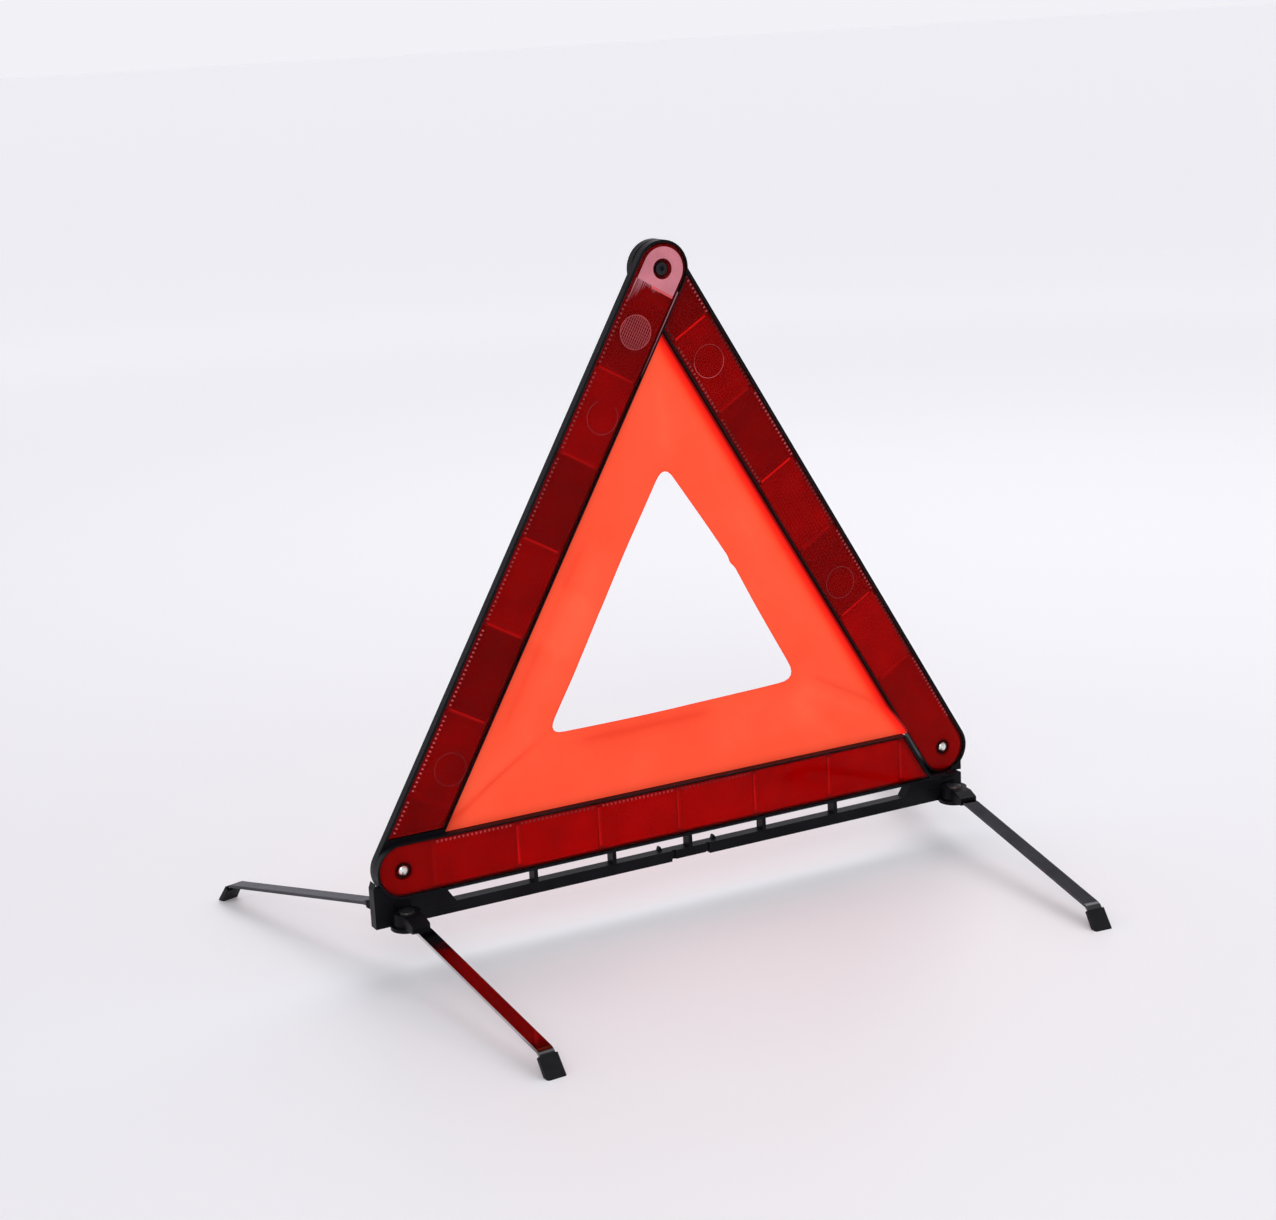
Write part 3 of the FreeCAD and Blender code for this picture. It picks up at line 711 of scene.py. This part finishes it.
# Plain rings: s, t, radius, width of the line, brightness, first and last angle.
RINGS = {
    "base": (),
    "left_arm": (
        (301.9, -2.6, 10.5, 0.35, 0.36, 40.0, 330.0),
        (67.5, -3.4, 10.5, 0.3, 0.32, 0.0, 360.0),
    ),
    "right_arm": (
        (334.8, 1.5, 10.6, 0.4, 0.75, 60.0, 250.0),
        (334.8, 1.5, 10.6, 0.3, 0.45, 250.0, 420.0),
        (152.6, 2.5, 10.6, 0.3, 0.34, 0.0, 360.0),
    ),
}


def cell_row(relief):
    """The row of reflector cells: before each one a joint and a ramp, then its prisms and teeth."""
    first, last = relief.bar.cells
    rows = zip(*(table[relief.bar.body] for table in (CELL_TONES, JOINT_TONES, TEETH)))
    for index, (tone, joint_tone, strengths) in enumerate(rows):
        low = first + index * CELL_PITCH
        high = min(low + CELL_PITCH - JOINT_HALF, last)
        if high - low < SHORTEST_CELL:
            break
        ramp(relief, low - JOINT_HALF, low + JOINT_HALF, JOINT_DEPTH, JOINT_DEPTH, joint_tone)
        ramp(relief, low + JOINT_HALF, low + RAMP_END, JOINT_DEPTH, RAMP_DEPTH, tone * 1.15)
        prisms(relief, low + RAMP_END, high, tone, index % 2 == 1)
        for side, strength in zip((1, -1), strengths):
            if strength:
                teeth(relief, low, high, side, strength)


def build_relief(bar):
    """All the relief of one bar's lens: cells and plain end behind it, rings and other marks on it."""
    relief = Relief(bar)
    cell_row(relief)
    smooth_end(relief, PLAIN_TONES[bar.body])
    if bar is LEFT_BAR:
        hatched_mark(relief, s=357.8, t=0.0, radius=10.6)
        painted_apex_reflection(relief)
    if bar is RIGHT_BAR:
        teeth(relief, low=16.0, high=73.0, side=-1, tone=0.75)
    for ring in RINGS[bar.body]:
        ring_mark(relief, *ring)
    thing = make_object(
        f"{bar.body}_prisms", relief.points, relief.faces, [prism_red, mark_red, painted_reflection_pink],
        relief.slots, relief.tones,
    )
    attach(thing, bar.body)


for bar in (BASE_BAR, LEFT_BAR, RIGHT_BAR):
    build_relief(bar)


# ---- The fabric: one stretched ring held behind the three bars ----
TUCK = 1.55                     # how far it reaches behind the base and left bars
RIGHT_GAP = 0.35                # it passes the right bar's inner edge at this distance
FABRIC_PLANE = LAYER_ORIGIN + 7.0
FABRIC_THICKNESS = 0.22
FORWARD_AT_BASE = 6.82          # it comes forward from its plane behind the base bar
BACK_AT_RIGHT = 3.6             # and goes back from it beside the right bar
WINDOW = ((-93.5, 129.3), (90.5, 133.8), (-2.0, 291.0))   # lower left, lower right and top
WINDOW_ROUND = (7.0, 9.0, 8.0)
CORNER_CUTS = (2.6, 1.6, 2.0)   # clipped off the outer corners
LEFT_CORNER_DROP = 3.0          # the lower left corner is pulled down behind the base bar
SIDE_STEPS = 100
CORNER_STEPS = 6
RADIAL_STEPS = 26


def smooth(x):
    """Soft step from 0 to 1."""
    x = min(max(x, 0.0), 1.0)
    return x * x * (3 - 2 * x)


def edge_distances(x, z):
    """How far a point is inside the inner edges of the base, right and left bars."""
    base = z - PIVOT_Z - BAR_HALF
    right = RIGHT_BAR.local(x, z)[1] - BAR_HALF
    left = -LEFT_BAR.local(x, z)[1] - BAR_HALF
    return base, right, left


def crease(x, z, start, end, width, height):
    """Soft ridge along a line, fading out at both of its ends."""
    line = (end[0] - start[0], end[1] - start[1])
    length = math.hypot(*line)
    along = ((x - start[0]) * line[0] + (z - start[1]) * line[1]) / length
    aside = ((z - start[1]) * line[0] - (x - start[0]) * line[1]) / length
    fade = smooth(along / (0.2 * length)) * smooth((length - along) / (0.2 * length))
    return height * fade * math.exp(-abs(aside) / width)


# Each crease: its start and end as (x, z), its width and its height.
CREASES = (
    ((-88.0, 134.0), (-172.0, 82.0), 1.7, -0.9),
    ((-92.0, 138.0), (-168.0, 92.0), 8.0, 0.7),
    ((88.0, 131.0), (150.0, 96.0), 7.0, 0.6),
    ((92.0, 138.0), (163.0, 100.0), 3.0, -0.6),
    ((80.0, 128.0), (120.0, 84.0), 9.0, 0.7),
    ((2.0, 290.0), (-4.0, 352.0), 6.0, 0.7),
    ((-60.0, 215.0), (-88.0, 178.0), 12.0, 0.9),
    ((-45.0, 250.0), (-118.0, 118.0), 8.0, 0.7),
    ((-52.0, 262.0), (-132.0, 122.0), 5.0, -0.5),
    ((-84.0, 121.0), (34.0, 124.0), 4.0, -0.6),
    ((20.0, 104.0), (112.0, 104.0), 8.0, 0.5),
    ((42.0, 262.0), (104.0, 158.0), 9.0, 0.5),
)


def fabric_depth(x, z):
    """How far back the fabric lies: forward at the base bar, back at the right bar, creased between."""
    base, right, left = edge_distances(x, z)
    forward = FORWARD_AT_BASE * (1 - smooth(base / 20.0)) * smooth(left / 15.0)
    back = BACK_AT_RIGHT * (1 - smooth((right - 0.2) / 13.0)) ** 1.6
    inside = smooth(min(base, right, left) / 16.0)
    swell = 1.3 * noise.noise(Vector((x / 60.0, z / 75.0, 3.1)))
    swell += 0.5 * noise.noise(Vector((x / 24.0, z / 31.0, 8.7)))
    folds = sum(crease(x, z, *parts) for parts in CREASES)
    under_left = 0.45 * (1 - smooth((left + 1.6) / 1.6))
    return FABRIC_PLANE - forward + back + inside * (swell + folds) - under_left


def line_meeting(first, second):
    """Where two lines, each given as (normal x, normal z, offset), cross."""
    a, b, c = first
    d, e, f = second
    scale = a * e - b * d
    return (c * e - b * f) / scale, (a * f - c * d) / scale


def fabric_line(bar, inside):
    """The line that runs a given distance inside a bar's inner edge."""
    normal = bar.across * (-1.0 if bar is LEFT_BAR else 1.0)
    offset = bar.start.dot(normal) + BAR_HALF + inside
    return normal.x, normal.z, offset


def lerp(a, b, k):
    return a[0] + (b[0] - a[0]) * k, a[1] + (b[1] - a[1]) * k


def clipped(corner, other, cut):
    """The point that lies the given distance from a corner, on the way to another one."""
    return lerp(corner, other, cut / math.dist(corner, other))


def rounded_corner(before, corner, after, radius):
    """Points along a rounded corner, from one side to the other."""
    start, end = (clipped(corner, target, radius * 1.7) for target in (before, after))
    points = []
    for k in range(CORNER_STEPS + 1):
        t = k / CORNER_STEPS
        points.append(lerp(lerp(start, corner, t), lerp(corner, end, t), t))
    return points


def fabric_loops():
    """Matching points round the window and round the outer edge, and which bar each one lies behind."""
    base = fabric_line(BASE_BAR, -TUCK)
    right = fabric_line(RIGHT_BAR, RIGHT_GAP)
    left = fabric_line(LEFT_BAR, -TUCK)
    outer = [line_meeting(left, base), line_meeting(base, right), line_meeting(right, left)]
    inner_loop, outer_loop, behind = [], [], []
    for k in range(3):
        before, after = (k + 2) % 3, (k + 1) % 3
        arc = rounded_corner(WINDOW[before], WINDOW[k], WINDOW[after], WINDOW_ROUND[k])
        cut_start = clipped(outer[k], outer[before], CORNER_CUTS[k])
        cut_end = clipped(outer[k], outer[after], CORNER_CUTS[k])
        for step, place in enumerate(arc):
            inner_loop.append(place)
            place = lerp(cut_start, cut_end, step / CORNER_STEPS)
            if k == 0:
                place = (place[0], place[1] - LEFT_CORNER_DROP * step / CORNER_STEPS)
            outer_loop.append(place)
            behind.append(None)
        next_arc = rounded_corner(WINDOW[k], WINDOW[after], WINDOW[before], WINDOW_ROUND[after])
        next_cut = clipped(outer[after], outer[k], CORNER_CUTS[after])
        for step in range(1, SIDE_STEPS):
            share = step / SIDE_STEPS
            inner_loop.append(window_side(k, lerp(arc[-1], next_arc[0], share), share))
            place = lerp(cut_end, next_cut, share)
            if k == 0:
                place = (place[0], place[1] - LEFT_CORNER_DROP * (1 - smooth(share / 0.08)))
            outer_loop.append(place)
            behind.append(("base", "right_arm", "left_arm")[k])
    return inner_loop, outer_loop, behind


RIGHT_BOW, BOW_PEAK = 3.6, 0.53                       # most at this share of the window's side
NICK, NICK_PLACE, NICK_WIDTH = 1.2, 0.54, 0.022       # the last two are shares as well
BASE_BOW, LEFT_WAVE = 1.2, 0.6


def window_side(k, place, share):
    """The cut edges of the window aren't quite straight; the right one bows out, with a small nick."""
    x, z = place
    if k == 1:
        rise = share / BOW_PEAK if share < BOW_PEAK else (1 - share) / (1 - BOW_PEAK)
        nick = NICK * math.exp(-(((share - NICK_PLACE) / NICK_WIDTH) ** 2))
        out = RIGHT_BOW * rise - nick
        return x + 0.866 * out, z + 0.5 * out
    if k == 0:
        return x, z - BASE_BOW * math.sin(math.pi * share)
    return x - LEFT_WAVE * math.sin(2 * math.pi * share), z


# The hem round the right bar's back edge, as steps of (inside the bar's edge, behind its back).
HEM = ((0.35, -2.2), (0.35, -1.0), (0.30, -0.1), (0.0, 0.22), (-0.6, 0.25), (-1.5, 0.2))


def fabric_mesh():
    """Points and faces of the ring, and of its hem at the right bar."""
    inner_loop, outer_loop, behind = fabric_loops()
    count = len(inner_loop)
    points, faces = [], []
    for step in range(RADIAL_STEPS + 1):
        share = step / RADIAL_STEPS
        share = 0.5 * share + 0.5 * (1 - (1 - share) ** 1.8)
        for a, b in zip(inner_loop, outer_loop):
            x, z = lerp(a, b, share)
            points.append(Vector((x, fabric_depth(x, z), z)) * MM)
    for step in range(RADIAL_STEPS):
        for k in range(count):
            first, second = step * count + k, step * count + (k + 1) % count
            faces.append([first, second, second + count, first + count])
    last_ring = RADIAL_STEPS * count
    side = [k for k in range(count) if behind[k] == "right_arm"]
    bar_back = RIGHT_BAR.front + BAR_DEPTH
    previous = [last_ring + k for k in side]
    for inside, behind_back in HEM:
        current = []
        for k in side:
            x, z = outer_loop[k]
            shift = RIGHT_BAR.across * (inside - RIGHT_GAP)
            points.append(Vector((x + shift.x, bar_back + behind_back, z + shift.z)) * MM)
            current.append(len(points) - 1)
        for a in range(len(side) - 1):
            faces.append([previous[a], previous[a + 1], current[a + 1], current[a]])
        previous = current
    return points, faces


def build_fabric():
    """The orange ring, with its painted light and shade near the right bar and along its folds stored on
    its points.
    """
    points, faces = fabric_mesh()
    fabric = make_object("warning_fabric", points, faces, [fabric_orange], rounded=True)
    tints = {"near_bar": [], "fold": []}
    for place in points:
        x, z = place.x / MM, place.z / MM
        right = edge_distances(x, z)[1]
        tints["near_bar"].append(1 - smooth((right - 0.5) / 14.0))
        tints["fold"].append(0.5 + 0.5 * sum(crease(x, z, *parts) for parts in CREASES))
    for name, values in tints.items():
        fabric.data.attributes.new(name, "FLOAT", "POINT").data.foreach_set("value", values)
    thick = fabric.modifiers.new("thickness", "SOLIDIFY")
    thick.thickness = FABRIC_THICKNESS * MM
    thick.offset = 0.0
    bpy.context.view_layer.objects.active = fabric
    fabric.select_set(True)
    bpy.ops.object.modifier_apply(modifier="thickness")
    fabric.select_set(False)
    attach(fabric, "base")
    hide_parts("warning_panel")
    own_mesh(fabric)


build_fabric()


# ---- Floor, light and camera ----
FLOOR_REACH = 30.0   # metres to each side


def floor_material():
    """White sweep, painted a little darker round the triangle as shade, and glowing far behind it: painted
    light that blends it into the bright horizon.
    """
    material, tree, shader = new_material("studio_floor")
    place = place_of(tree)
    reach = tree.nodes.new("ShaderNodeVectorMath")
    reach.operation = "LENGTH"
    tree.links.new(place, reach.inputs[0])
    far = remapped(tree, reach.outputs["Value"], 0.0, 1.0, 0.5, 3.0)
    patches = combined(tree, "MULTIPLY", noise_value(tree, place, 1.3, 2.0), 0.12)
    amount = combined(tree, "ADD", far, patches)
    colour = graded(tree, amount, [(0.0, (0.93, 0.93, 0.955)), (1.0, (0.94, 0.938, 0.962))])
    tree.links.new(colour, shader.inputs["Base Color"])
    # Painted light: the floor's glow grows with distance from the triangle.
    tree.links.new(remapped(tree, far, 0.0, 0.27), shader.inputs["Emission Strength"])
    set_values(shader, Roughness=0.45, IOR=1.3, Emission_Color=(0.96, 0.95, 1.0, 1.0))
    return material


def build_floor():
    corners = [(x * FLOOR_REACH, y * FLOOR_REACH, 0) for x, y in ((-1, -1), (1, -1), (1, 1), (-1, 1))]
    floor = make_object("studio_floor", corners, [[0, 1, 2, 3]], [floor_material()])


def area_light(name, place, target, size, watts, colour):
    """Rectangular softbox at a place in metres, turned to a target."""
    light = bpy.data.lights.new(name, "AREA")
    light.shape = "RECTANGLE"
    light.size, light.size_y = size
    light.energy = watts
    light.color = colour
    thing = bpy.data.objects.new(name, light)
    scene.collection.objects.link(thing)
    thing.location = place
    thing.rotation_mode = "QUATERNION"
    thing.rotation_quaternion = (Vector(target) - Vector(place)).to_track_quat("-Z", "Y")


def build_light():
    """Bright horizon under a dimmer ceiling, one softbox high up on the right and one in front."""
    world = bpy.data.worlds.new("studio")
    world.use_nodes = True
    tree = world.node_tree
    background = tree.nodes["Background"]
    parts = tree.nodes.new("ShaderNodeSeparateXYZ")
    tree.links.new(tree.nodes.new("ShaderNodeTexCoord").outputs["Generated"], parts.inputs["Vector"])
    horizon, ceiling = (0.89, 0.882, 0.925), (0.56, 0.555, 0.575)
    colour = graded(tree, parts.outputs["Z"], [(0.12, horizon), (0.55, ceiling)])
    tree.links.new(colour, background.inputs["Color"])
    scene.world = world
    area_light("softbox_top", (0.75, 0.65, 1.8), (0.0, 0.0, 0.1), (1.6, 1.4), 14.0, (1.0, 0.99, 1.0))
    area_light("softbox_front", (-1.3, -2.3, 1.4), (0.0, 0.0, 0.2), (1.2, 1.2), 19.0, (1.0, 0.985, 0.98))


CAMERA_PLACE = Vector((-696.29, -1301.79 + LAYER_ORIGIN, 571.73)) * MM
CAMERA_AZIMUTH, CAMERA_ELEVATION, CAMERA_ROLL = 27.146, 14.217, -2.895   # degrees
CAMERA_LENS = 67.81                                                      # on a 36 mm sensor


def build_camera():
    """The photograph's viewpoint, level apart from a small roll."""
    a, e, r = (math.radians(v) for v in (CAMERA_AZIMUTH, CAMERA_ELEVATION, CAMERA_ROLL))
    back = Vector((-math.sin(a) * math.cos(e), -math.cos(a) * math.cos(e), math.sin(e)))
    right = Vector((math.cos(a), -math.sin(a), 0.0))
    up = back.cross(right)
    rolled_right = right * math.cos(r) + up * math.sin(r)
    rolled_up = up * math.cos(r) - right * math.sin(r)
    data = bpy.data.cameras.new("photo_camera")
    data.sensor_width = 36.0
    data.lens = CAMERA_LENS
    camera = bpy.data.objects.new("photo_camera", data)
    scene.collection.objects.link(camera)
    turn = Matrix((rolled_right, rolled_up, back)).transposed().to_4x4()
    camera.matrix_world = Matrix.Translation(CAMERA_PLACE) @ turn
    scene.camera = camera


build_floor()
build_light()
build_camera()
scene.view_settings.view_transform = "Standard"
